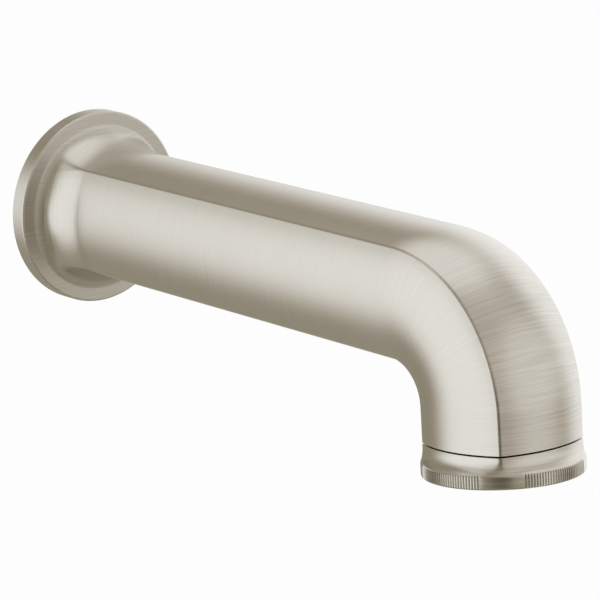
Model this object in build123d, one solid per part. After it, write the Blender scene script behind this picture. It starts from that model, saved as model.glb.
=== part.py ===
from build123d import *

import os
from math import cos, pi, radians, sin, sqrt

# A wall-mounted bath spout with a pull-down diverter ring, built as an assembly of separate pieces.
#
# Frame: the origin is the centre of the pipe thread in the wall plane. +X points out of the wall, +Z up.
# The spout has a soft-square section: four shallow arcs that meet in four creases. It runs straight out
# of a round flange, turns down through a bend of 85 degrees, and ends in a mouth. Everything at the
# outlet is drawn in the outlet frame: its origin is the centre of the mouth, its +Z runs down the
# outlet's axis, and its +X faces the front of the spout, away from the wall.

# ---------------------------------------------------------------- driving dimensions, in millimetres
HALF_WIDTH = 20.75  # from the spout's axis to the middle of each of its four sides
SIDE_SPREAD = 14.05  # how much larger the radius of a side arc is than the half width
CREASE_ANGLE = 27.5  # degrees from the middle of a side to where its crease rounding begins
CAVITY = (17.85, 9.0)  # half width and side spread of the waterway inside

FLANGE_RADIUS = 32.0
FLANGE_THICKNESS = 5.7
FLANGE_EDGE = 0.7  # rounding of the flange's front edge
COVE_FOOT_RADIUS = 28.0  # where the cove leaves the flange's face
COVE_END = 19.7  # where the cove runs out into the spout's side
COVE_TURN = 0.42  # share of the cove's rise at which its curve turns away from the face
COVE_REACH = 0.58  # share of the cove's length at which its curve turns along the side
COVE_SINK = 0.02  # how far the cove's foot is let into the flange's face

STRAIGHT_RUN = 167.2  # wall plane to the start of the bend
BEND_RADIUS = 30.25
BEND_ANGLE = 85.0
LEG = 10.35  # end of the bend to the mouth

MOUTH_BORE = 17.6
REAR_BORE = 14.1
REAR_BORE_DEPTH = 36.0
CAVITY_START = 41.0

PIPE_THREAD_RADIUS = 9.9  # half-inch pipe thread at its pitch diameter, drawn as a plain wall
PIPE_THREAD_DEPTH = 16.0
ADAPTER_RADIUS = 14.0
ADAPTER_LENGTH = 32.0
ADAPTER_BORE = 7.6

SCREW_X = 13.0  # distance of the set screw from the wall
SCREW_RADIUS = 2.95
SCREW_HOLE_RADIUS = 3.0

RING_GAP = 0.5
RING_RADIUS = 24.2
RING_BAND_TOP = 6.3
RING_FLARE = 64.0  # degrees that the flare leans out at its steepest, just above its shoulder
RING_SHOULDER = 0.9  # radius that rounds the flare into the grip band
RING_STEP = 0.03  # how far the flare ends inside the band
RING_BOTTOM = 9.7
RING_EDGE = 0.6
RING_LIP_RADIUS = 13.0
RING_LIP = 1.2
GRIP_PATCHES = 4
GRIP_RIDGES = 28
GRIP_PITCH = 2.1  # degrees
GRIP_DEPTH = 0.35
GRIP_SINK = 0.05  # the ridges stand this far below the plain band
GRIP_CREST = 0.3  # share of a ridge that is left flat on top

TRAVEL = 6.5  # how far the ring pulls down

# ---------------------------------------------------------------- the outlet's inner levels, along its axis
HOUSING_RADIUS = 17.5
HOUSING_BORE = 15.25
HOUSING_BOTTOM = -0.6
HOUSING_SHOULDER = -13.0
CHAMBER_RADIUS = 14.5
CHAMBER_BORE = 13.2
CHAMBER_TOP = -24.0
WEB = 1.2

SEAT_OPENING = 8.5
SEAT_TUBE = 10.2
SEAT_TUBE_BOTTOM = -5.0
SEAT_FLANGE = 1.6
SEAT_LIP = 0.4

HUB_RADIUS = 5.8
HUB_TOP = -8.0
BUSH_RADIUS = 4.2
STEM_RADIUS = 3.0
STEM_CLEARANCE = 0.05
STEM_NECK = 2.0
SPRING_RADIUS = 5.0
SPRING_WIRE = 0.9
SPRING_TURNS = 5

SKIRT_RADIUS = 15.0
SKIRT_BORE = 13.0
SKIRT_TOP = -12.6
SPIDER_TOP = -4.4
SPIDER = 2.0
CARRIER_FLANGE_RADIUS = 19.0
CARRIER_FLANGE = 1.5
CARRIER_BOTTOM = 8.4
AERATOR_RADIUS = 12.5
AERATOR_LIP_RADIUS = 11.5
PLAY = 0.1  # radial gap between fixed pieces that slide into each other when assembled

# ---------------------------------------------------------------- worked out from the above
BEND = radians(BEND_ANGLE)
BEND_CENTRE = Vector(STRAIGHT_RUN, 0, -BEND_RADIUS)
FRONT = Vector(sin(BEND), 0, cos(BEND))
DOWN = Vector(cos(BEND), 0, -sin(BEND))
MOUTH = BEND_CENTRE + FRONT * BEND_RADIUS + DOWN * LEG
OUTLET = Plane(origin=MOUTH, x_dir=FRONT, z_dir=DOWN)

SHOULDER_FACE = HOUSING_SHOULDER - WEB  # the seat rests on this
SEAT_FACE = SHOULDER_FACE - SEAT_FLANGE - SEAT_LIP  # top of the lip that the seal closes on
SEAL_BOTTOM = SEAT_FACE - TRAVEL - 0.1
SEAL = 2.0
SEAL_RADIUS = 11.0
SPRING_WASHER = 0.8
DISC = 2.4
NUT = 3.2


# ---------------------------------------------------------------- small helpers
def soft_square(half_width, spread=SIDE_SPREAD):
    """A face on the XY plane of four side arcs and four crease arcs. Its Y side is the top or front."""
    angle = radians(CREASE_ANGLE)
    side_radius = half_width + spread
    reach = spread / (cos(angle) - sin(angle))
    centre = reach * sin(angle)
    crease_radius = side_radius - reach
    crease_tip = centre + crease_radius / sqrt(2)
    end = (side_radius * sin(angle), side_radius * cos(angle) - spread)
    edges = []
    for quarter in range(4):
        side = [end, (0, half_width), (-end[0], end[1])]
        crease = [(-end[0], end[1]), (-crease_tip, crease_tip), (-end[1], end[0])]
        for arc in (side, crease):
            edges.append(ThreePointArc(*[Vector(x, y).rotate(Axis.Z, 90 * quarter) for x, y in arc]))
    return Face(Wire(edges))


def across_x(face, x):
    """Stands a section up across the X axis, with its Y side on top."""
    return Plane(origin=(x, 0, 0), x_dir=(0, 1, 0), z_dir=(1, 0, 0)) * face


def turned(points):
    """A closed outline of (radius, level) points, revolved about the Z axis."""
    outline = Polyline(*[(r, 0, z) for r, z in points], close=True)
    return revolve(Face(Wire(outline.edges())), Axis.Z, 360)


def tube(outer, inner, low, high):
    """A plain ring round the Z axis from one level to another."""
    ring = Circle(outer) - Circle(inner) if inner else Circle(outer)
    return Pos(0, 0, low) * extrude(ring, high - low)


def o_ring(middle, cord, level):
    """A round rubber cord bent into a ring about the Z axis."""
    return Pos(0, 0, level) * Torus(middle, cord)


def to_x_axis(shape):
    """Turns a shape drawn round the Z axis so that it lies along +X."""
    return Plane(origin=(0, 0, 0), x_dir=(0, 1, 0), z_dir=(1, 0, 0)) * shape


def to_outlet(shape):
    """Places a shape drawn in the outlet frame."""
    return OUTLET * shape


def cubic(start, first, second, end, t):
    """A point on a cubic curve with two control points."""
    s = 1 - t
    return s**3 * start + 3 * s * s * t * first + 3 * s * t * t * second + t**3 * end


# ---------------------------------------------------------------- the spout
def straight_run(face, start):
    """Carries a section from start to the beginning of the bend."""
    return extrude(across_x(face, start), STRAIGHT_RUN - start)


def round_the_bend(face, leg):
    """Carries a section round the bend and then down by leg to the mouth."""
    bend = revolve(across_x(face, STRAIGHT_RUN), Axis(BEND_CENTRE, (0, 1, 0)), BEND_ANGLE)
    upright = Pos(0, 0, -leg) * extrude(Rot(0, 0, -90) * face, leg)
    return bend + to_outlet(upright)


def cove():
    """The loft that carries the round foot on the flange into the soft-square spout."""
    rise = COVE_FOOT_RADIUS - HALF_WIDTH
    length = COVE_END - FLANGE_THICKNESS
    sections = []
    for t in (0.0, 0.19, 0.35, 0.49, 0.62, 0.74, 0.87, 1.0):
        x = FLANGE_THICKNESS + cubic(0, 0, COVE_REACH * length, length, t) - COVE_SINK * (1 - t)
        share = cubic(1, COVE_TURN, 0, 0, t)
        face = soft_square(HALF_WIDTH + rise * share, SIDE_SPREAD * (1 - share))
        sections.append(across_x(face, x))
    return loft(sections)


def flange():
    disc = Cylinder(FLANGE_RADIUS, FLANGE_THICKNESS, align=(Align.CENTER, Align.CENTER, Align.MIN))
    disc = fillet(disc.edges().group_by(Axis.Z)[-1], FLANGE_EDGE)
    return to_x_axis(disc)


def wall_flange():
    """The round flange with its cove, bored for the inlet adapter and recessed at the back."""
    body = flange() + cove()
    body -= to_x_axis(tube(REAR_BORE, 0, -1.0, REAR_BORE_DEPTH))
    body -= to_x_axis(tube(24.0, 17.5, -1.0, 3.6))
    body -= to_x_axis(tube(29.5, 25.5, -1.0, 2.1))
    hole = Cylinder(SCREW_HOLE_RADIUS, 16.0, align=(Align.CENTER, Align.CENTER, Align.MIN))
    return body - Pos(SCREW_X, 0, -REAR_BORE - 14.0) * hole


def spout_tube():
    """The long soft-square tube, brazed to the flange. Its rear end guides the inlet adapter."""
    body = straight_run(soft_square(HALF_WIDTH), COVE_END)
    body -= straight_run(soft_square(*CAVITY), CAVITY_START)
    body -= to_x_axis(tube(REAR_BORE, 0, 0.0, REAR_BORE_DEPTH))
    throat = Cone(REAR_BORE, 17.0, CAVITY_START - REAR_BORE_DEPTH + 0.2,
                  align=(Align.CENTER, Align.CENTER, Align.MIN))
    return body - to_x_axis(Pos(0, 0, REAR_BORE_DEPTH - 0.1) * throat)


def spout_elbow():
    """The bend and the outlet leg, brazed to the tube, with a round mouth for the diverter."""
    body = round_the_bend(soft_square(HALF_WIDTH), LEG)
    body -= revolve(across_x(soft_square(*CAVITY), STRAIGHT_RUN), Axis(BEND_CENTRE, (0, 1, 0)), BEND_ANGLE)
    return body - to_outlet(tube(MOUTH_BORE, 0, -LEG - 0.3, 1.0))


def wall_gasket():
    return to_x_axis(tube(29.3, 25.7, 0.0, 2.0))


def inlet_adapter():
    """Brass sleeve that screws on the pipe. The spout slides over it and the set screw holds it."""
    sleeve = turned([
        (PIPE_THREAD_RADIUS, 0), (ADAPTER_RADIUS, 0), (ADAPTER_RADIUS, 9.5), (12.5, 9.5), (12.5, 16.5),
        (ADAPTER_RADIUS, 16.5), (ADAPTER_RADIUS, 20.0), (12.2, 20.0), (12.2, 22.6), (ADAPTER_RADIUS, 22.6),
        (ADAPTER_RADIUS, 26.0), (12.2, 26.0), (12.2, 28.6), (ADAPTER_RADIUS, 28.6),
        (ADAPTER_RADIUS, ADAPTER_LENGTH), (ADAPTER_BORE, ADAPTER_LENGTH),
        (ADAPTER_BORE, PIPE_THREAD_DEPTH + 2), (PIPE_THREAD_RADIUS, PIPE_THREAD_DEPTH),
    ])
    spanner_hex = RegularPolygon(10.5, 6, major_radius=False) - Circle(ADAPTER_BORE)
    return to_x_axis(sleeve + Pos(0, 0, ADAPTER_LENGTH) * extrude(spanner_hex, 6.5))


def set_screw():
    """Grub screw under the flange's neck. Its cup point sits in the adapter's locking groove."""
    length = 7.4
    screw = Cylinder(SCREW_RADIUS, length, align=(Align.CENTER, Align.CENTER, Align.MIN))
    screw = chamfer(screw.edges().group_by(Axis.Z)[-1], 0.8)
    screw -= extrude(RegularPolygon(1.5, 6, major_radius=False), 3.0)
    screw -= Pos(0, 0, length - 0.6) * Cone(0.4, 1.2, 0.7, align=(Align.CENTER, Align.CENTER, Align.MIN))
    return Pos(SCREW_X, 0, -12.55 - length) * screw


# ---------------------------------------------------------------- the fixed part of the diverter
def diverter_housing():
    """Acetal cartridge shell, threaded into the mouth. Two keyways keep the ring from turning."""
    shell = turned([
        (HOUSING_BORE, HOUSING_BOTTOM), (HOUSING_RADIUS, HOUSING_BOTTOM), (HOUSING_RADIUS, -10.0),
        (16.0, -10.0), (16.0, -12.4), (HOUSING_RADIUS, -12.4), (HOUSING_RADIUS, HOUSING_SHOULDER),
        (CHAMBER_RADIUS, SHOULDER_FACE), (CHAMBER_RADIUS, CHAMBER_TOP), (CHAMBER_BORE, CHAMBER_TOP),
        (CHAMBER_BORE, SHOULDER_FACE), (11.5, SHOULDER_FACE), (11.5, HOUSING_SHOULDER),
        (HOUSING_BORE, HOUSING_SHOULDER),
    ])
    for side in (1, -1):
        shell -= Pos(0, side * 15.4, -4.6) * Box(3.4, 1.6, 8.6)  # keyway
        shell -= Pos(side * 16.6, 0, HOUSING_BOTTOM) * Box(1.2, 3.0, 2.4)  # pin-spanner notch
    for turn in range(4):  # windows that let water into the valve chamber from the side
        shell -= Rot(0, 0, 45 + 90 * turn) * Pos(CHAMBER_RADIUS, 0, -20.4) * Box(6.0, 9.0, 4.0)
    return to_outlet(shell)


def valve_seat():
    """Seat with a raised lip, a down tube, and three spokes that carry the stem bush."""
    top = SHOULDER_FACE - SEAT_FLANGE
    seat = turned([
        (SEAT_OPENING, SEAT_FACE), (9.5, SEAT_FACE), (9.9, top), (13.1, top), (13.1, SHOULDER_FACE),
        (SEAT_TUBE, SHOULDER_FACE), (SEAT_TUBE, SEAT_TUBE_BOTTOM), (SEAT_OPENING, SEAT_TUBE_BOTTOM),
    ])
    hub_height = SEAT_TUBE_BOTTOM - HUB_TOP
    seat += Pos(0, 0, HUB_TOP) * extrude(Circle(HUB_RADIUS), hub_height)
    for turn in range(3):
        spoke = Box(SEAT_OPENING - HUB_RADIUS + 1.2, 1.4, hub_height,
                    align=(Align.MIN, Align.CENTER, Align.MIN))
        seat += Rot(0, 0, 30 + 120 * turn) * Pos(HUB_RADIUS - 0.4, 0, HUB_TOP) * spoke
    seat -= tube(BUSH_RADIUS, 0, HUB_TOP - 1, SEAT_TUBE_BOTTOM + 1)
    return to_outlet(seat)


def stem_bush():
    flanged = turned([
        (STEM_RADIUS + STEM_CLEARANCE, HUB_TOP - 0.7), (5.4, HUB_TOP - 0.7), (5.4, HUB_TOP),
        (BUSH_RADIUS - 0.02, HUB_TOP), (BUSH_RADIUS - 0.02, SEAT_TUBE_BOTTOM - 0.1),
        (STEM_RADIUS + STEM_CLEARANCE, SEAT_TUBE_BOTTOM - 0.1),
    ])
    return to_outlet(flanged)


def return_spring():
    """Compression spring between the bush flange and the spring washer."""
    low = SEAL_BOTTOM + SPRING_WASHER + SPRING_WIRE / 2 + 0.05
    high = HUB_TOP - 0.7 - SPRING_WIRE / 2 - 0.05
    coil = Helix(pitch=(high - low) / SPRING_TURNS, height=high - low, radius=SPRING_RADIUS)
    start = Plane(origin=coil @ 0, z_dir=coil % 0)
    wire = sweep(start * Circle(SPRING_WIRE / 2), path=coil, is_frenet=True)
    return to_outlet(Pos(0, 0, low) * wire)


# ---------------------------------------------------------------- the moving part of the diverter
def valve_stem():
    """Steel stem: a thick middle that slides in the bush, and a threaded neck at the top."""
    shoulder = SEAL_BOTTOM + SPRING_WASHER
    stem = turned([
        (0, SEAL_BOTTOM - SEAL - DISC - NUT - 0.9), (STEM_NECK, SEAL_BOTTOM - SEAL - DISC - NUT - 0.9),
        (STEM_NECK, shoulder), (STEM_RADIUS, shoulder), (STEM_RADIUS, SPIDER_TOP),
        (2.5, SPIDER_TOP), (2.5, SPIDER_TOP + SPIDER), (1.55, SPIDER_TOP + SPIDER), (1.55, -8.6), (0, -8.6),
    ])
    return to_outlet(stem)


def on_stem(outer, low, thickness):
    """A washer or disc that is clamped on the stem's neck."""
    return to_outlet(tube(outer, STEM_NECK + 0.05, low, low + thickness))


def spring_washer():
    return on_stem(7.5, SEAL_BOTTOM, SPRING_WASHER)


def valve_seal():
    return on_stem(SEAL_RADIUS, SEAL_BOTTOM - SEAL, SEAL)


def valve_disc():
    """Backing disc behind the seal, with a raised boss under the nut."""
    top = SEAL_BOTTOM - SEAL
    inner = STEM_NECK + 0.05
    disc = turned([
        (inner, top - DISC), (5.0, top - DISC), (5.4, top - 1.2), (11.0, top - 1.2), (11.4, top - 0.8),
        (11.4, top), (inner, top),
    ])
    return to_outlet(disc)


def stem_nut():
    low = SEAL_BOTTOM - SEAL - DISC - NUT
    nut = Pos(0, 0, low) * extrude(RegularPolygon(3.5, 6, major_radius=False), NUT)
    return to_outlet(nut - tube(STEM_NECK + 0.02, 0, low - 1, low + NUT + 1))


def ring_carrier():
    """Acetal sleeve that joins the ring to the stem, slides in the housing and holds the aerator."""
    groove = (-12.0, -10.0)
    sleeve = turned([
        (SKIRT_BORE, SKIRT_TOP), (SKIRT_RADIUS, SKIRT_TOP), (SKIRT_RADIUS, groove[0]), (13.6, groove[0]),
        (13.6, groove[1]), (SKIRT_RADIUS, groove[1]), (SKIRT_RADIUS, 0.6), (CARRIER_FLANGE_RADIUS, 0.6),
        (CARRIER_FLANGE_RADIUS, 0.6 + CARRIER_FLANGE), (15.2, 0.6 + CARRIER_FLANGE),
        (15.2, CARRIER_BOTTOM), (AERATOR_LIP_RADIUS, CARRIER_BOTTOM),
        (AERATOR_LIP_RADIUS, CARRIER_BOTTOM - 0.9), (AERATOR_RADIUS + PLAY, CARRIER_BOTTOM - 0.9),
        (AERATOR_RADIUS + PLAY, 0.9), (SKIRT_BORE, 0.5),
    ])
    hub = tube(5.0, 0, SPIDER_TOP, SPIDER_TOP + SPIDER)
    for turn in range(4):
        arm = Box(SKIRT_BORE - 4.0, 1.8, SPIDER, align=(Align.MIN, Align.CENTER, Align.MIN))
        hub += Rot(0, 0, 45 + 90 * turn) * Pos(4.4, 0, SPIDER_TOP) * arm
    sleeve += hub
    sleeve -= tube(2.52, 0, SPIDER_TOP - 1, SPIDER_TOP + SPIDER + 1)
    for side in (1, -1):
        sleeve += Pos(0, side * 15.2, -5.5) * Box(3.0, 1.2, 5.0)  # key that slides in the keyway
    for x, y in screw_places():
        sleeve -= Pos(x, y, 0) * screw_solid(0.05)
    return to_outlet(sleeve)


def screw_places():
    """Centres of the four screws that hold the carrier in the ring, in the outlet frame."""
    reach = 17.15 / sqrt(2)
    return [(reach, reach), (-reach, reach), (-reach, -reach), (reach, -reach)]


def screw_solid(play=0.0):
    """A small countersunk screw along +Z, its head flush with the carrier's flange. play widens it."""
    top = 0.6 - (1.0 if play else 0.0)
    return turned([
        (0, top), (1.6 + play, top), (1.6 + play, 0.7), (0.8 + play, 1.5), (0.8 + play, 6.0 + play),
        (0, 6.0 + play),
    ])


def carrier_screws():
    screw = screw_solid() - Pos(0, 0, 0.6) * extrude(RegularPolygon(0.6, 6, major_radius=False), 0.6)
    return to_outlet(Compound([Pos(x, y, 0) * screw for x, y in screw_places()]))


def grip_outline():
    """Outline that trims the band: four patches of small upright ridges, and clear arcs between them."""
    half = radians(GRIP_PITCH * GRIP_RIDGES / 2)
    pitch = radians(GRIP_PITCH)
    crest = pitch * GRIP_CREST / 2
    top = RING_RADIUS - GRIP_SINK
    clear = RING_RADIUS + 1.0

    def at(radius, angle):
        return (radius * cos(angle), radius * sin(angle))

    edges = []
    for patch in range(GRIP_PATCHES):
        middle = patch * 2 * pi / GRIP_PATCHES
        begin = middle + half
        end = middle + 2 * pi / GRIP_PATCHES - half
        for ridge in range(GRIP_RIDGES):
            start = middle - half + ridge * pitch
            corners = [at(top, start), at(top, start + crest), at(top - GRIP_DEPTH, start + pitch / 2),
                       at(top, start + pitch - crest), at(top, start + pitch)]
            edges += [Line(a, b) for a, b in zip(corners, corners[1:])]
        edges.append(Line(at(top, begin), at(clear, begin)))
        edges.append(ThreePointArc(at(clear, begin), at(clear, (begin + end) / 2), at(clear, end)))
        edges.append(Line(at(clear, end), at(top, end)))
    return Face(Wire(edges))


def flare_profile():
    """Points (level, share of the rise) of the ring's flare: a hollow arc that ends in a shoulder."""
    steepest = radians(RING_FLARE)
    rise = RING_RADIUS - RING_STEP - HALF_WIDTH
    hollow = rise / (1 - cos(steepest)) - RING_SHOULDER
    top = RING_BAND_TOP - (hollow + RING_SHOULDER) * sin(steepest)
    points = []
    for step in range(7):
        angle = steepest * step / 6
        points.append((top + hollow * sin(angle), hollow * (1 - cos(angle)) / rise))
    for angle in (steepest * 0.55, 0.0):
        points.append((RING_BAND_TOP - RING_SHOULDER * sin(angle), 1 - RING_SHOULDER * (1 - cos(angle)) / rise))
    return points


def ring_flare():
    """The flare between the ring's soft-square neck and its round grip band."""
    rise = RING_RADIUS - RING_STEP - HALF_WIDTH
    sections = []
    for level, share in flare_profile():
        face = Rot(0, 0, -90) * soft_square(HALF_WIDTH + rise * share, SIDE_SPREAD * (1 - share))
        sections.append(Pos(0, 0, level) * face)
    return loft(sections)


def pull_ring():
    """The knurled ring that is pulled down to send the water to the shower."""
    neck = Rot(0, 0, -90) * soft_square(HALF_WIDTH)
    ring = Pos(0, 0, RING_GAP) * extrude(neck, flare_profile()[0][0] - RING_GAP)
    ring += ring_flare()
    ring += turned([
        (0, RING_BAND_TOP), (RING_RADIUS, RING_BAND_TOP), (RING_RADIUS, RING_BOTTOM - RING_EDGE),
        (RING_RADIUS - RING_EDGE, RING_BOTTOM), (0, RING_BOTTOM),
    ])
    ring &= extrude(grip_outline(), RING_BOTTOM + 1)
    ring -= tube(CARRIER_FLANGE_RADIUS + PLAY, 0, RING_GAP - 1, 0.6 + CARRIER_FLANGE)
    ring -= tube(15.2 + PLAY, 0, 1.0, RING_BOTTOM - RING_LIP)
    ring -= tube(RING_LIP_RADIUS, 0, 1.0, RING_BOTTOM + 1)
    for x, y in screw_places():
        ring -= Pos(x, y, 0) * screw_solid(0.05)
    return to_outlet(ring)


def stem_screw():
    """Pan-head screw that holds the stem in the carrier's hub."""
    level = SPIDER_TOP + SPIDER + 0.6
    screw = turned([
        (0, -8.4), (1.5, -8.4), (1.5, level), (3.2, level), (3.2, level + 1.4), (2.4, level + 2.0),
        (0, level + 2.0),
    ])
    return to_outlet(screw - Pos(0, 0, level + 1.0) * extrude(RegularPolygon(1.25, 6, major_radius=False), 1.5))


def stem_washer():
    level = SPIDER_TOP + SPIDER
    return to_outlet(tube(4.2, 1.6, level, level + 0.6))


def aerator_gasket():
    return to_outlet(tube(AERATOR_RADIUS, 10.2, 1.0, 2.2))


def perforated_disc(radius, hole, pitch, low, thickness):
    """A disc with round holes on rings about its centre."""
    disc = tube(radius, 0, low, low + thickness)
    holes = [Pos(0, 0, low - 1) * extrude(Circle(hole), thickness + 2)]
    rings = int((radius - 1.6) / pitch)
    for ring in range(1, rings + 1):
        count = 6 * ring
        for index in range(count):
            angle = 2 * pi * index / count
            place = Pos(ring * pitch * cos(angle), ring * pitch * sin(angle), low - 1)
            holes.append(place * extrude(Circle(hole), thickness + 2))
    return disc - holes


def aerator_screen():
    return to_outlet(perforated_disc(AERATOR_RADIUS, 0.75, 2.2, 2.2, 0.8))


def stream_straightener():
    """Moulded insert with square water channels, seen from below through the ring."""
    body = tube(AERATOR_RADIUS, 0, 3.0, CARRIER_BOTTOM - 0.9) + tube(11.3, 0, 7.0, 8.2)
    cell = 1.9
    rib = 0.55
    reach = 10.4
    count = int(reach / (cell + rib))
    cells = []
    for column in range(-count, count + 1):
        for row in range(-count, count + 1):
            x = column * (cell + rib)
            y = row * (cell + rib)
            if sqrt((abs(x) + cell / 2) ** 2 + (abs(y) + cell / 2) ** 2) < reach:
                cells.append(Pos(x, y, 5.5) * Box(cell, cell, 8.0))
    return to_outlet(body - cells)


# ---------------------------------------------------------------- every piece, one file each
PIECES = {
    "wall_flange": wall_flange,
    "spout_tube": spout_tube,
    "spout_elbow": spout_elbow,
    "wall_gasket": wall_gasket,
    "inlet_adapter": inlet_adapter,
    "adapter_o_ring_rear": lambda: to_x_axis(o_ring(13.15, 0.92, 21.3)),
    "adapter_o_ring_front": lambda: to_x_axis(o_ring(13.15, 0.92, 27.3)),
    "set_screw": set_screw,
    "diverter_housing": diverter_housing,
    "housing_o_ring": lambda: to_outlet(o_ring(16.79, 0.77, -11.2)),
    "valve_seat": valve_seat,
    "stem_bush": stem_bush,
    "return_spring": return_spring,
    "valve_stem": valve_stem,
    "spring_washer": spring_washer,
    "valve_seal": valve_seal,
    "valve_disc": valve_disc,
    "stem_nut": stem_nut,
    "ring_carrier": ring_carrier,
    "carrier_o_ring": lambda: to_outlet(o_ring(14.4, 0.76, -11.0)),
    "carrier_screws": carrier_screws,
    "stem_screw": stem_screw,
    "stem_washer": stem_washer,
    "pull_ring": pull_ring,
    "aerator_gasket": aerator_gasket,
    "aerator_screen": aerator_screen,
    "stream_straightener": stream_straightener,
}

os.makedirs("parts", exist_ok=True)
for name, make in PIECES.items():
    export_step(make(), f"parts/{name}.step")
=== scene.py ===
import bpy
import bmesh
import math
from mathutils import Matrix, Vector


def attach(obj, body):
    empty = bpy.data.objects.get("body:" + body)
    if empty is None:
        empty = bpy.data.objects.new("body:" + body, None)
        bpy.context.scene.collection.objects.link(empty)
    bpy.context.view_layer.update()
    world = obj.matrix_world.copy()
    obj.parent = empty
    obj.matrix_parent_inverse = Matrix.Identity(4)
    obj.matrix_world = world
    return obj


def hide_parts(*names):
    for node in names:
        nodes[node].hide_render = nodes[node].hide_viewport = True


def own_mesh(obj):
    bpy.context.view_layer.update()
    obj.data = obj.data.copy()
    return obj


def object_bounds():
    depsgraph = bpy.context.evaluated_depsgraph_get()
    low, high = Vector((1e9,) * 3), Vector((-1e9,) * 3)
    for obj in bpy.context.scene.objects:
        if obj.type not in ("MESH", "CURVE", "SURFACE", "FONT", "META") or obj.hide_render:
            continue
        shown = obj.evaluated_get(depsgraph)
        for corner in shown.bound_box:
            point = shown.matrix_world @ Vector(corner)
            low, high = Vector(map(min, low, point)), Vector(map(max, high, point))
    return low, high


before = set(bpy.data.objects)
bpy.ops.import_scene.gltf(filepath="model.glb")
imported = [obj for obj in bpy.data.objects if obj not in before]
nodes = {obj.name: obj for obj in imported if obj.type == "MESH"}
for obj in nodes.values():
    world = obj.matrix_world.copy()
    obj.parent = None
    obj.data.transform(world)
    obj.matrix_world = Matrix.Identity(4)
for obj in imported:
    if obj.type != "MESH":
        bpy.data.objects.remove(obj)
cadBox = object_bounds()
scene = bpy.context.scene
print("frame loaded")

# ---- small tools for building node trees

def newTree(name):
    # an empty material and its tree, with the shader already wired to the output
    material = bpy.data.materials.new(name)
    material.use_nodes = True
    tree = material.node_tree
    shader = tree.nodes["Principled BSDF"]
    return material, tree, shader

def addNode(tree, kind, values=None, links=None, **settings):
    # one node, its settings, the values of its sockets, and what feeds them
    node = tree.nodes.new(kind)
    for key, value in settings.items():
        setattr(node, key, value)
    for key, value in (values or {}).items():
        node.inputs[key].default_value = value
    for key, source in (links or {}).items():
        tree.links.new(source, node.inputs[key])
    return node

def addMath(tree, operation, first, second=None, third=None):
    # a Math node, where each input is a number or another node's output
    node = tree.nodes.new("ShaderNodeMath")
    node.operation = operation
    for index, value in enumerate((first, second, third)):
        if value is None:
            continue
        if isinstance(value, (int, float)):
            node.inputs[index].default_value = value
        else:
            tree.links.new(value, node.inputs[index])
    return node.outputs[0]

def newGroup(name, inputs, outputs):
    # an empty node group with named sockets: (name, socket type, default value)
    group = bpy.data.node_groups.new(name, "ShaderNodeTree")
    for label, kind, default in inputs:
        socket = group.interface.new_socket(name=label, in_out="INPUT", socket_type=kind)
        if default is not None:
            socket.default_value = default
    for label, kind in outputs:
        group.interface.new_socket(name=label, in_out="OUTPUT", socket_type=kind)
    return group, group.nodes.new("NodeGroupInput"), group.nodes.new("NodeGroupOutput")

def useGroup(tree, group, values=None, links=None):
    node = addNode(tree, "ShaderNodeGroup", node_tree=group)
    for key, value in (values or {}).items():
        node.inputs[key].default_value = value
    for key, source in (links or {}).items():
        tree.links.new(source, node.inputs[key])
    return node

def rampColours(node, stops):
    # stops are (position, colour) from left to right
    elements = node.color_ramp.elements
    while len(elements) > len(stops):
        elements.remove(elements[-1])
    while len(elements) < len(stops):
        elements.new(0.5)
    for element, (position, colour) in zip(elements, stops):
        element.position = position
        element.color = (*colour, 1.0)

# ---- the spout's own line, which the brush marks follow

spoutLine = {
    "straightEnd": 0.1672,  # where the bend starts, out from the wall
    "bendRadius": 0.03025,
    "bendAngle": 85.0,
}

def makeAlongSpoutGroup():
    # distance along the spout from the wall: straight, then round the bend, then down the outlet
    floatSocket, vectorSocket = "NodeSocketFloat", "NodeSocketVector"
    group, entry, exitNode = newGroup(
        "alongSpout", [("Position", vectorSocket, None)], [("Distance", floatSocket)])
    bend = math.radians(spoutLine["bendAngle"])
    start, radius = spoutLine["straightEnd"], spoutLine["bendRadius"]
    split = addNode(group, "ShaderNodeSeparateXYZ", links={0: entry.outputs["Position"]})
    x, z = split.outputs[0], split.outputs[2]
    straight = addMath(group, "MINIMUM", x, start)
    outward = addMath(group, "MAXIMUM", addMath(group, "SUBTRACT", x, start), 0.0)
    upward = addMath(group, "ADD", z, radius)
    turned = addMath(group, "ARCTAN2", outward, upward)
    turned = addMath(group, "MINIMUM", addMath(group, "MAXIMUM", turned, 0.0), bend)
    downX = addMath(group, "MULTIPLY", outward, math.cos(bend))
    downZ = addMath(group, "MULTIPLY", upward, -math.sin(bend))
    down = addMath(group, "MAXIMUM", addMath(group, "ADD", downX, downZ), 0.0)
    total = addMath(group, "ADD", straight, addMath(group, "MULTIPLY", turned, radius))
    total = addMath(group, "ADD", total, down)
    group.links.new(total, exitNode.inputs["Distance"])
    return group

# ---- shared surface effects

brushMarks = {
    "slant": 0.35,  # how much the marks shift sideways along the spout, so that they don't line up
    "fineScale": 1.0, "wideScale": 0.5, "detail": 2.0, "raggedness": 0.6,
    "wideHeight": 1.6,  # the wide marks' depth against the fine ones'
    "wideTone": 0.6,  # their share of the change in tone
    "toneRange": (0.38, 0.62),
}

clouds = {
    "detail": 4.0, "raggedness": 0.55, "distortion": 0.4,
    "range": (0.35, 0.65),
}

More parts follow.
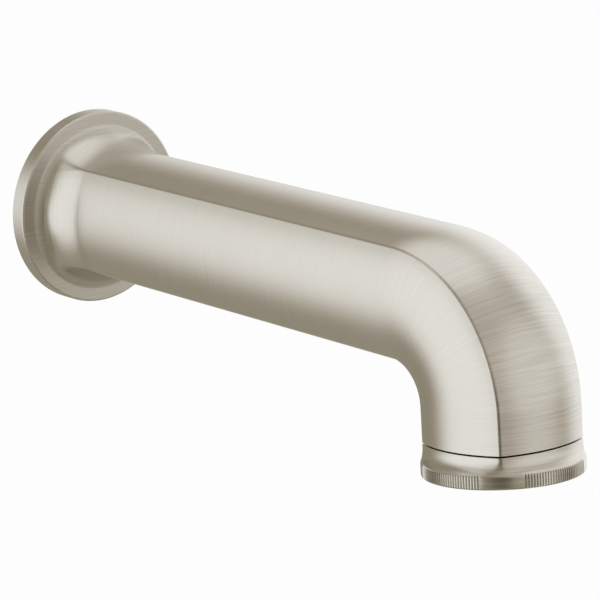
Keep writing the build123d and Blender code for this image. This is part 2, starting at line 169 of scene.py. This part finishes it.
def makeBrushGrainGroup():
    # parallel scratches: quick changes across the brush's path, slow ones along it
    look = brushMarks
    floatSocket, vectorSocket = "NodeSocketFloat", "NodeSocketVector"
    group, entry, exitNode = newGroup(
        "brushGrain",
        [("Across", floatSocket, 0.0), ("Position", vectorSocket, None),
         ("Lines Per Metre", floatSocket, 3000.0), ("Line Length", floatSocket, 60.0)],
        [("Height", floatSocket), ("Tone", floatSocket)])
    along = addNode(group, "ShaderNodeVectorMath", operation="SCALE",
                    links={0: entry.outputs["Position"], "Scale": entry.outputs["Line Length"]})
    split = addNode(group, "ShaderNodeSeparateXYZ", links={0: along.outputs[0]})
    across = addMath(group, "MULTIPLY", entry.outputs["Across"], entry.outputs["Lines Per Metre"])
    forward = addMath(group, "MULTIPLY", split.outputs[0], look["slant"])
    sideways = addMath(group, "ADD", split.outputs[1], forward)
    place = addNode(group, "ShaderNodeCombineXYZ", links={0: across, 1: sideways, 2: split.outputs[2]})
    fine, wide = [
        addNode(group, "ShaderNodeTexNoise",
                {"Scale": scale, "Detail": look["detail"], "Roughness": look["raggedness"]},
                {"Vector": place.outputs[0]}).outputs[0]
        for scale in (look["fineScale"], look["wideScale"])]
    height = addMath(group, "MULTIPLY_ADD", wide, look["wideHeight"], fine)
    fineTone = addMath(group, "MULTIPLY", fine, 1 - look["wideTone"])
    mixed = addMath(group, "MULTIPLY_ADD", wide, look["wideTone"], fineTone)
    darkest, lightest = look["toneRange"]
    tone = addNode(group, "ShaderNodeMapRange", {"From Min": darkest, "From Max": lightest},
                   {"Value": mixed})
    group.links.new(height, exitNode.inputs["Height"])
    group.links.new(tone.outputs[0], exitNode.inputs["Tone"])
    return group

def makeHandlingGroup():
    # faint cloudy patches where a surface has been wiped and handled
    floatSocket, vectorSocket = "NodeSocketFloat", "NodeSocketVector"
    group, entry, exitNode = newGroup(
        "handling", [("Position", vectorSocket, None), ("Size", floatSocket, 0.02)],
        [("Mask", floatSocket)])
    scale = addMath(group, "DIVIDE", 1.0, entry.outputs["Size"])
    cloud = addNode(group, "ShaderNodeTexNoise",
                    {"Detail": clouds["detail"], "Roughness": clouds["raggedness"],
                     "Distortion": clouds["distortion"]},
                    {"Vector": entry.outputs["Position"], "Scale": scale})
    low, high = clouds["range"]
    soft = addNode(group, "ShaderNodeMapRange", {"From Min": low, "From Max": high},
                   {"Value": cloud.outputs[0]}, interpolation_type="SMOOTHSTEP")
    group.links.new(soft.outputs[0], exitNode.inputs["Mask"])
    return group

alongSpout = makeAlongSpoutGroup()
brushGrain = makeBrushGrainGroup()
handling = makeHandlingGroup()

# ---- brushed nickel

nickelFinish = {
    "light": (0.730, 0.706, 0.656),
    "dark": (0.645, 0.615, 0.560),
    "roughness": 0.22,
    "roughnessSpread": 0.07,
    "scratchDepth": 0.000012,
    "linesPerMetre": 3400.0,
    "lineLength": 60.0,
    "sideShare": 0.22,  # how much of the brushing shows on the spout's sides
    "faceEdge": 0.0068,  # the flange's flat face lies behind this distance from the wall
    "faceFade": (0.0061, 0.0084),  # over this distance the face's extra roughness fades out
    "faceRoughness": 0.22,
    "handlingSize": 0.03,
    "handlingRoughness": 0.02,
    "facing": (0.25, 0.75),  # how far a surface looks away from the wall, from brushed least to most
}

def brushedNickel(name):
    look = nickelFinish
    material, tree, shader = newTree(name)
    position = addNode(tree, "ShaderNodeTexCoord").outputs["Object"]
    along = useGroup(tree, alongSpout, links={"Position": position}).outputs[0]
    split = addNode(tree, "ShaderNodeSeparateXYZ", links={0: position})
    onFace = addMath(tree, "LESS_THAN", split.outputs[0], look["faceEdge"])
    across = addNode(tree, "ShaderNodeMix", data_type="FLOAT",
                     links={0: onFace, 2: along, 3: split.outputs[2]}).outputs[0]
    grain = useGroup(tree, brushGrain,
                     {"Lines Per Metre": look["linesPerMetre"], "Line Length": look["lineLength"]},
                     {"Across": across, "Position": position})
    marks = useGroup(tree, handling, {"Size": look["handlingSize"]}, {"Position": position})
    # the marks are clearest on surfaces that face away from the wall
    facing = addNode(tree, "ShaderNodeSeparateXYZ",
                     links={0: addNode(tree, "ShaderNodeNewGeometry").outputs["Normal"]}).outputs[0]
    clear = addNode(tree, "ShaderNodeMapRange",
                    {"From Min": look["facing"][0], "From Max": look["facing"][1],
                     "To Min": look["sideShare"], "To Max": 1.0},
                    {"Value": facing}, interpolation_type="SMOOTHSTEP").outputs[0]
    level = addMath(tree, "MULTIPLY", addMath(tree, "SUBTRACT", grain.outputs["Tone"], 0.5), clear)
    level = addMath(tree, "ADD", level, 0.5)
    tone = addNode(tree, "ShaderNodeMix", data_type="RGBA",
                   values={6: (*look["dark"], 1.0), 7: (*look["light"], 1.0)}, links={0: level})
    tree.links.new(tone.outputs[2], shader.inputs["Base Color"])
    rough = addMath(tree, "MULTIPLY_ADD", level, look["roughnessSpread"],
                    look["roughness"] - look["roughnessSpread"] / 2)
    rough = addMath(tree, "MULTIPLY_ADD", marks.outputs[0], look["handlingRoughness"], rough)
    nearFace = addNode(tree, "ShaderNodeMapRange",
                       {"From Min": look["faceFade"][1], "From Max": look["faceFade"][0]},
                       {"Value": split.outputs[0]}, interpolation_type="SMOOTHSTEP").outputs[0]
    nearFace = addMath(tree, "MULTIPLY", nearFace, clear)
    rough = addMath(tree, "MULTIPLY_ADD", nearFace, look["faceRoughness"], rough)
    tree.links.new(rough, shader.inputs["Roughness"])
    height = addMath(tree, "MULTIPLY", grain.outputs["Height"], clear)
    bump = addNode(tree, "ShaderNodeBump", {"Strength": 1.0, "Distance": look["scratchDepth"]},
                   {"Height": height})
    tree.links.new(bump.outputs[0], shader.inputs["Normal"])
    shader.inputs["Metallic"].default_value = 1.0
    return material

# ---- the other finishes

plainFinishes = {
    # colour, second colour, roughness, metallic, grain size in metres, bump depth in metres
    "rawBrass": ((0.78, 0.57, 0.26), (0.62, 0.42, 0.17), 0.30, 1.0, 0.0012, 0.000010),
    "stainless": ((0.66, 0.66, 0.65), (0.52, 0.52, 0.51), 0.28, 1.0, 0.0008, 0.000008),
    "springSteel": ((0.58, 0.58, 0.59), (0.42, 0.42, 0.43), 0.34, 1.0, 0.0006, 0.000008),
    "sealRubber": ((0.030, 0.030, 0.032), (0.050, 0.049, 0.048), 0.62, 0.0, 0.0005, 0.000015),
    "wallFoam": ((0.10, 0.10, 0.105), (0.055, 0.055, 0.06), 0.88, 0.0, 0.0004, 0.000060),
    "whiteAcetal": ((0.80, 0.80, 0.77), (0.74, 0.74, 0.71), 0.38, 0.0, 0.0010, 0.000012),
    "greyAcetal": ((0.30, 0.31, 0.32), (0.25, 0.26, 0.27), 0.42, 0.0, 0.0010, 0.000012),
    "screenPlastic": ((0.20, 0.21, 0.22), (0.15, 0.16, 0.17), 0.45, 0.0, 0.0006, 0.000012),
}

plainRoughnessSpread = 0.12
plainHandlingScale = 8  # the cloudy patches are this many times the grain's size

def plainFinish(name):
    colour, second, roughness, metallic, grainSize, depth = plainFinishes[name]
    material, tree, shader = newTree(name)
    position = addNode(tree, "ShaderNodeTexCoord").outputs["Object"]
    marks = useGroup(tree, handling, {"Size": grainSize * plainHandlingScale},
                     {"Position": position}).outputs[0]
    grain = addNode(tree, "ShaderNodeTexNoise", {"Scale": 1.0 / grainSize, "Detail": 5.0},
                    {"Vector": position})
    tone = addNode(tree, "ShaderNodeMix", data_type="RGBA",
                   values={6: (*colour, 1.0), 7: (*second, 1.0)}, links={0: marks})
    tree.links.new(tone.outputs[2], shader.inputs["Base Color"])
    rough = addMath(tree, "MULTIPLY_ADD", grain.outputs[0], plainRoughnessSpread,
                    roughness - plainRoughnessSpread / 2)
    tree.links.new(rough, shader.inputs["Roughness"])
    bump = addNode(tree, "ShaderNodeBump", {"Strength": 1.0, "Distance": depth},
                   {"Height": grain.outputs[0]})
    tree.links.new(bump.outputs[0], shader.inputs["Normal"])
    shader.inputs["Metallic"].default_value = metallic
    return material

finishOf = {
    "rawBrass": ["inlet_adapter", "valve_seat", "valve_disc"],
    "stainless": ["set_screw", "valve_stem", "spring_washer", "stem_nut", "carrier_screws", "stem_screw",
                  "stem_washer"],
    "springSteel": ["return_spring"],
    "sealRubber": ["adapter_o_ring_rear", "adapter_o_ring_front", "housing_o_ring", "valve_seal",
                   "carrier_o_ring", "aerator_gasket"],
    "wallFoam": ["wall_gasket"],
    "whiteAcetal": ["diverter_housing", "ring_carrier"],
    "greyAcetal": ["stem_bush", "stream_straightener"],
    "screenPlastic": ["aerator_screen"],
}

def setFinish(nodeName, material):
    slots = nodes[nodeName].data.materials
    slots.clear()
    slots.append(material)

nickel = brushedNickel("brushedNickel")
for nodeName in ("wall_flange", "spout_tube", "spout_elbow", "pull_ring"):
    setFinish(nodeName, nickel)
finishes = {name: plainFinish(name) for name in plainFinishes}
for finish, names in finishOf.items():
    for nodeName in names:
        setFinish(nodeName, finishes[finish])
print("finishes made")

# ---- pieces made of rings of points

def joinRows(name, rows, mesh, *rest):
    # joins each ring of points to the next, and the last one to the first
    count = len(rows[0])
    for upper, lower in zip(rows, rows[1:] + rows[:1]):
        for i in range(count):
            k = (i + 1) % count
            mesh.faces.new((upper[i], lower[i], lower[k], upper[k]))
    return finishPiece(name, mesh, *rest)

def finishPiece(name, mesh, sharpAngle, material, body, nodeName, slotName):
    # turns the mesh into an object that stands for one CAD node
    bmesh.ops.recalc_face_normals(mesh, faces=mesh.faces)
    data = bpy.data.meshes.new(name)
    mesh.to_mesh(data)
    mesh.free()
    data.shade_smooth()
    data.set_sharp_from_angle(angle=math.radians(sharpAngle))
    data.materials.append(material)
    piece = bpy.data.objects.new(name, data)
    scene.collection.objects.link(piece)
    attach(piece, body)
    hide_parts(nodeName)
    return piece

# ---- the inlet adapter, with the pipe thread cut in its bore

inletAdapter = {
    "columns": 96, "sharpAngle": 38,
    "length": 0.032, "hexLength": 0.0065, "hexHalf": 0.0105, "edge": 0.0003,
    "hexCut": 1.06, "hexCutHeight": 0.0006,  # the hexagon's corners are turned down at its end
    "boreStart": 0.018, "toothFlat": 0.42, "mouthRim": 0.0010,
    "bore": 0.0076, "threadDepth": 0.016, "threadPitch": 0.001814, "threadHeight": 0.0010,
    "threadRadius": 0.01005, "taper": 1 / 32, "rowStep": 0.00015,
    # outside, from the back: (distance from the wall, radius)
    "outside": [(0.0, 0.0137), (0.0003, 0.0140), (0.0095, 0.0140), (0.0095, 0.0125), (0.0165, 0.0125),
                (0.0165, 0.0140), (0.0200, 0.0140), (0.0200, 0.0122), (0.0226, 0.0122), (0.0226, 0.0140),
                (0.0260, 0.0140), (0.0260, 0.0122), (0.0286, 0.0122), (0.0286, 0.0140), (0.0317, 0.0140),
                (0.0320, 0.0137)],
}

def makeInletAdapter():
    look = inletAdapter
    count = look["columns"]
    angles = [2 * math.pi * i / count for i in range(count)]
    mesh = bmesh.new()

    def addRow(x, radii):
        return [mesh.verts.new((x, r * math.cos(a), r * math.sin(a))) for a, r in zip(angles, radii)]

    def hexRadius(angle):
        off = (angle + math.pi / 6) % (math.pi / 3) - math.pi / 6
        return look["hexHalf"] / math.cos(off)

    rows = [addRow(x, [r] * count) for x, r in look["outside"]]
    hexEnd = look["length"] + look["hexLength"]
    corners = [hexRadius(a) for a in angles]
    cut = [min(r, look["hexHalf"] * look["hexCut"]) for r in corners]
    rows.append(addRow(look["length"], corners))
    rows.append(addRow(hexEnd - look["hexCutHeight"], corners))
    rows.append(addRow(hexEnd, cut))
    for x, r in ((hexEnd, look["bore"] + look["edge"]), (hexEnd - look["edge"], look["bore"]),
                 (look["boreStart"], look["bore"])):
        rows.append(addRow(x, [r] * count))
    steps = int(look["threadDepth"] / look["rowStep"])
    for i in range(steps + 1):
        x = look["threadDepth"] * (1 - i / steps)
        fade = min(1.0, (look["threadDepth"] - x) / look["threadPitch"])
        radii = []
        for a in angles:
            turn = (x / look["threadPitch"] + a / (2 * math.pi)) % 1.0
            slope = 1.0 - 4.0 * abs(turn - 0.5)
            tooth = max(-look["toothFlat"], min(look["toothFlat"], slope))  # flat crests and roots
            radii.append(look["threadRadius"] - look["taper"] * x + tooth * look["threadHeight"] * fade)
        rows.append(addRow(x, radii))
    rows.append(addRow(0.0, [look["threadRadius"] + look["mouthRim"]] * count))
    joinRows("inletAdapter", rows, mesh, look["sharpAngle"], finishes["rawBrass"],
             "spout", "inlet_adapter", "raw_brass")

makeInletAdapter()
print("inlet adapter made")

# ---- the pull ring: a soft-square neck, a hollow flare, and a round band with four ridged patches

outlet = {
    "mouth": (0.198237, 0.0, -0.037924),
    "lean": 85.0,  # degrees that the spout has turned down by
}

pullRing = {
    "halfWidth": 0.02075, "sideSpread": 0.01405, "creaseAngle": 27.5,  # the soft-square section
    "top": 0.0005, "bottom": 0.0097, "bandTop": 0.0063, "bandRadius": 0.0242,
    "flareLean": 64.0, "shoulder": 0.0009, "topEdge": 0.00015, "bottomEdge": 0.0006,
    "patches": 4, "ridges": 28, "pitch": 2.1, "ridgeDepth": 0.00042, "ridgeSink": 0.00006,
    "crestShare": 0.26,  # share of a ridge's pitch that is flat on top
    "plainColumns": 26, "plainMargin": 0.004,  # the smooth arcs between the patches
    "hollowSteps": 14, "shoulderSteps": 10, "edgeSteps": 6, "bandStart": 0.0012,
    "lipEdge": 0.0002, "sharpAngle": 32,
    "rootHalf": 0.06, "rootDepth": 0.93,  # each side of a groove's middle, and how deep it is there
    "recess": (0.0191, 0.0021), "bore": 0.0153, "lip": (0.0130, 0.0085),  # radius, level
}

def outletAxes():
    # towards the front, to the side, and down the outlet
    lean = math.radians(outlet["lean"])
    front = Vector((math.sin(lean), 0.0, math.cos(lean)))
    down = Vector((math.cos(lean), 0.0, -math.sin(lean)))
    return front, down.cross(front), down

def softSquareRadius(angle, halfWidth, spread):
    # distance from the axis to the section's edge in a direction measured from the middle of a side
    look = pullRing
    bend = math.radians(look["creaseAngle"])
    fromSide = abs((angle + math.pi / 4) % (math.pi / 2) - math.pi / 4)
    sideRadius = halfWidth + spread
    junction = math.atan2(sideRadius * math.sin(bend), sideRadius * math.cos(bend) - spread)
    if fromSide <= junction:
        chord = math.sqrt(sideRadius ** 2 - (spread * math.sin(fromSide)) ** 2)
        return chord - spread * math.cos(fromSide)
    reach = spread / (math.cos(bend) - math.sin(bend))
    centre = reach * math.sin(bend) * math.sqrt(2)
    off = math.pi / 4 - fromSide
    return centre * math.cos(off) + math.sqrt((sideRadius - reach) ** 2 - (centre * math.sin(off)) ** 2)

def ringAngles():
    # the directions of the ring's columns of points, and how deep each one lies in a groove
    look = pullRing
    pitch = math.radians(look["pitch"])
    half = pitch * look["ridges"] / 2
    crest = look["crestShare"] / 2
    rootHalf, rootDepth = look["rootHalf"], look["rootDepth"]
    steps = [(0.0, 0.0), (crest, 0.0), (0.25 + crest / 2, 0.5), (0.5 - rootHalf, rootDepth), (0.5, 1.0),
             (0.5 + rootHalf, rootDepth), (0.75 - crest / 2, 0.5), (1.0 - crest, 0.0)]
    columns = []
    for patch in range(look["patches"]):
        middle = patch * 2 * math.pi / look["patches"]
        for ridge in range(look["ridges"]):
            columns += [(middle - half + (ridge + step) * pitch, deep) for step, deep in steps]
        columns.append((middle + half, 0.0))
        gap = 2 * math.pi / look["patches"] - 2 * half
        plain, margin = look["plainColumns"], look["plainMargin"]
        columns += [(middle + half + gap * (margin + (1 - 2 * margin) * i / plain), None)
                    for i in range(plain + 1)]
    return columns

def ringLevels():
    # outer surface from the neck's top to the band's bottom: (level, share of the flare's rise, drawn in)
    look = pullRing
    lean = math.radians(look["flareLean"])
    rise = look["bandRadius"] - look["halfWidth"]
    hollow = rise / (1 - math.cos(lean)) - look["shoulder"]
    flareTop = look["bandTop"] - (hollow + look["shoulder"]) * math.sin(lean)
    edge = look["topEdge"]
    levels = [(look["top"] + edge * (1 - math.sin(a)), 0.0, edge * (1 - math.cos(a)))
              for a in (math.pi / 2, math.pi / 4, 0.0)]
    for i in range(look["hollowSteps"] + 1):
        a = lean * i / look["hollowSteps"]
        levels.append((flareTop + hollow * math.sin(a), hollow * (1 - math.cos(a)) / rise, 0.0))
    for i in range(1, look["shoulderSteps"] + 1):
        a = lean * (1 - i / look["shoulderSteps"])
        levels.append((look["bandTop"] - look["shoulder"] * math.sin(a),
                       1 - look["shoulder"] * (1 - math.cos(a)) / rise, 0.0))
    bottomEdge = look["bottomEdge"]
    levels.append((look["bandTop"] + look["bandStart"], 1.0, 0.0))
    for i in range(look["edgeSteps"] + 1):
        a = math.pi / 2 * i / look["edgeSteps"]
        levels.append((look["bottom"] - bottomEdge * (1 - math.sin(a)), 1.0,
                       bottomEdge * (1 - math.cos(a))))
    return levels

def makePullRing():
    look = pullRing
    columns, levels = ringAngles(), ringLevels()
    rise = look["bandRadius"] - look["halfWidth"]
    front, side, down = outletAxes()
    mouth = Vector(outlet["mouth"])
    mesh = bmesh.new()

    def addRow(level, radii):
        row = []
        for (angle, _), radius in zip(columns, radii):
            out = front * math.cos(angle) + side * math.sin(angle)
            row.append(mesh.verts.new(mouth + down * level + out * radius))
        return row

    rows = []
    for level, share, drawnIn in levels:
        radii = []
        for angle, deep in columns:
            radius = softSquareRadius(angle, look["halfWidth"] + rise * share,
                                      look["sideSpread"] * (1 - share)) - drawnIn
            if deep is not None:
                radius = min(radius, look["bandRadius"] - look["ridgeSink"] - look["ridgeDepth"] * deep)
            radii.append(radius)
        rows.append(addRow(level, radii))
    lipRadius, lipLevel = look["lip"]
    recessRadius, recessLevel = look["recess"]
    lipEdge = look["lipEdge"]
    inside = [(look["bottom"], lipRadius + lipEdge), (look["bottom"] - lipEdge, lipRadius),
              (lipLevel, lipRadius), (lipLevel, look["bore"]), (recessLevel, look["bore"]),
              (recessLevel, recessRadius), (look["top"], recessRadius)]
    for level, radius in inside:
        rows.append(addRow(level, [radius] * len(columns)))
    joinRows("pullRing", rows, mesh, look["sharpAngle"], nickel, "diverter", "pull_ring", "nickel_ring")

makePullRing()
print("pull ring made")

# ---- the return spring, built as a fixed coil; the real one shortens as the ring is pulled down

returnSpring = {
    "radius": 0.0050, "wire": 0.00045,
    "movingEnd": -0.0215, "fixedEnd": -0.0092,  # levels of the wire's middle in the outlet's frame
    "turns": 6.0, "deadTurns": 0.75, "deadPitch": 0.00095,
    "stepsPerTurn": 32, "sides": 10, "sharpAngle": 50,
    "keep": 0.505,  # share of its length that is left when the ring is all the way down
}

def springLevel(turn):
    # how far the wire has climbed after so many turns: the end turns lie close together
    look = returnSpring
    dead, pitch = look["deadTurns"], look["deadPitch"]
    length = look["fixedEnd"] - look["movingEnd"]
    live = (length - 2 * dead * pitch) / (look["turns"] - 2 * dead)
    if turn < dead:
        return turn * pitch
    if turn > look["turns"] - dead:
        return length - (look["turns"] - turn) * pitch
    return dead * pitch + (turn - dead) * live

def makeReturnSpring():
    look = returnSpring
    front, side, down = outletAxes()
    mouth = Vector(outlet["mouth"])
    mesh = bmesh.new()
    steps = int(look["turns"] * look["stepsPerTurn"])
    rows = []
    for i in range(steps + 1):
        turn = i / look["stepsPerTurn"]
        angle = 2 * math.pi * turn
        out = front * math.cos(angle) + side * math.sin(angle)
        centre = mouth + down * (look["movingEnd"] + springLevel(turn)) + out * look["radius"]
        row = []
        for k in range(look["sides"]):
            a = 2 * math.pi * k / look["sides"]
            around = out * math.cos(a) + down * math.sin(a)
            row.append(mesh.verts.new(centre + around * look["wire"]))
        rows.append(row)
    for upper, lower in zip(rows, rows[1:]):
        for k in range(look["sides"]):
            n = (k + 1) % look["sides"]
            mesh.faces.new((upper[k], lower[k], lower[n], upper[n]))
    mesh.faces.new(rows[0])
    mesh.faces.new(rows[-1])
    spring = finishPiece("returnSpring", mesh, look["sharpAngle"], finishes["springSteel"],
                         "spout", "return_spring", "spring_steel")
    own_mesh(spring)

makeReturnSpring()
print("return spring made")

# ---- floor and studio

studio = {
    "floorDrop": 0.25,  # below the lowest point of the spout
    "floorHalf": 6.0, "floorColour": (0.985, 0.985, 0.985, 1.0), "backdrop": (1.0, 1.0, 1.0, 1.0),
    "room": 122, "ground": 131, "fullTone": 255,
    "groundFade": (-0.34, -0.77),  # height of the direction at which the room turns into the ground
    # direction in degrees round and up, radius of the full part, width of its soft edge, tone
    "shade": (-29, -2, 60, 16, 107),
    "ceiling": (21, 35, 12, 80, 160),
    "overhead": (148, 74, 1, 40, 209),
    "frontBox": (28, 15, 1, 42, 194),
    "rightBox": (105, 7, 1, 56, 226),
    "leftBox": (-117, 1, 1, 51, 226),
    "leftGlow": (-121, 44, 1, 19, 181),
    "strip": (-94, -8, 10, 14, 226),
    "gap": (-46, -7, 7, 11, 78),
    # tone from 0 to 1, and the light's colour there
    "colours": [(0.26, (0.095, 0.085, 0.060)), (0.34, (0.170, 0.155, 0.115)),
                (0.47, (0.325, 0.295, 0.225)), (0.66, (0.62, 0.585, 0.53)),
                (0.78, (0.87, 0.86, 0.84)), (0.90, (1.12, 1.14, 1.15))],
}

def makeFloor():
    half = studio["floorHalf"]
    height = cadBox[0].z - studio["floorDrop"]
    mesh = bpy.data.meshes.new("floor")
    corners = [(-half, -half, height), (half, -half, height), (half, half, height), (-half, half, height)]
    mesh.from_pydata(corners, [], [(0, 1, 2, 3)])
    floor = bpy.data.objects.new("floor", mesh)
    scene.collection.objects.link(floor)
    material, tree, shader = newTree("floorPale")
    tree.nodes.remove(shader)
    pale = addNode(tree, "ShaderNodeEmission", {"Color": studio["floorColour"]})
    clear = addNode(tree, "ShaderNodeBsdfTransparent")
    underside = addNode(tree, "ShaderNodeNewGeometry").outputs["Backfacing"]
    both = addNode(tree, "ShaderNodeMixShader",
                   links={0: underside, 1: pale.outputs[0], 2: clear.outputs[0]})
    tree.links.new(both.outputs[0], tree.nodes["Material Output"].inputs["Surface"])
    mesh.materials.append(material)
    floor.visible_glossy = False  # the studio's warm ground is what the metal mirrors
    floor.visible_diffuse = False
    floor.visible_shadow = False

def directionOf(azimuth, elevation):
    a, e = math.radians(azimuth), math.radians(elevation)
    return Vector((math.cos(e) * math.cos(a), math.cos(e) * math.sin(a), math.sin(e)))

def makeWorld():
    # soft round lights in a warm grey room; each one is a smooth spot on the sky
    world = bpy.data.worlds.new("studio")
    world.use_nodes = True
    scene.world = world
    tree = world.node_tree
    tree.nodes.clear()
    direction = addNode(tree, "ShaderNodeTexCoord").outputs["Generated"]
    split = addNode(tree, "ShaderNodeSeparateXYZ", links={0: direction})
    fullTone = studio["fullTone"]
    tone = addNode(tree, "ShaderNodeMapRange",
                   {"From Min": studio["groundFade"][0], "From Max": studio["groundFade"][1],
                    "To Min": studio["room"] / fullTone, "To Max": studio["ground"] / fullTone},
                   {"Value": split.outputs[2]}).outputs[0]
    for light in ("shade", "ceiling", "overhead", "frontBox", "rightBox", "leftBox", "leftGlow",
                  "strip", "gap"):
        azimuth, elevation, radius, edge, level = studio[light]
        facing = addNode(tree, "ShaderNodeVectorMath", operation="DOT_PRODUCT",
                         values={1: directionOf(azimuth, elevation)}, links={0: direction}).outputs["Value"]
        spot = addNode(tree, "ShaderNodeMapRange",
                       {"From Min": math.cos(math.radians(radius + edge)),
                        "From Max": math.cos(math.radians(radius))},
                       {"Value": facing}, interpolation_type="SMOOTHERSTEP")
        tone = addNode(tree, "ShaderNodeMix", data_type="FLOAT", values={3: level / fullTone},
                       links={0: spot.outputs[0], 2: tone}).outputs[0]
    ramp = addNode(tree, "ShaderNodeValToRGB", links={0: tone})
    rampColours(ramp, studio["colours"])
    lit = addNode(tree, "ShaderNodeBackground", links={0: ramp.outputs[0]})
    white = addNode(tree, "ShaderNodeBackground", {"Color": studio["backdrop"]})
    lightPath = addNode(tree, "ShaderNodeLightPath")
    both = addNode(tree, "ShaderNodeMixShader", links={0: lightPath.outputs["Is Camera Ray"],
                   1: lit.outputs[0], 2: white.outputs[0]})
    addNode(tree, "ShaderNodeOutputWorld", links={0: both.outputs[0]})

makeFloor()
makeWorld()
scene.view_settings.view_transform = "Standard"
print("studio made")

# ---- camera

cameraPlace = {
    "azimuth": 49.58,
    "elevation": 13.63,
    "target": (0.1075, 0.0, -0.01313),
    "distance": 0.9892,
    "lens": 191.5,
    "clipStart": 0.01,
}

def makeCamera():
    a, e = math.radians(cameraPlace["azimuth"]), math.radians(cameraPlace["elevation"])
    back = Vector((math.sin(a) * math.cos(e), -math.cos(a) * math.cos(e), math.sin(e)))
    data = bpy.data.cameras.new("camera")
    data.lens = cameraPlace["lens"]
    data.clip_start = cameraPlace["clipStart"]
    camera = bpy.data.objects.new("camera", data)
    scene.collection.objects.link(camera)
    camera.location = Vector(cameraPlace["target"]) + back * cameraPlace["distance"]
    camera.rotation_mode = "QUATERNION"
    camera.rotation_quaternion = (-back).to_track_quat("-Z", "Y")
    scene.camera = camera

makeCamera()
print("camera made")
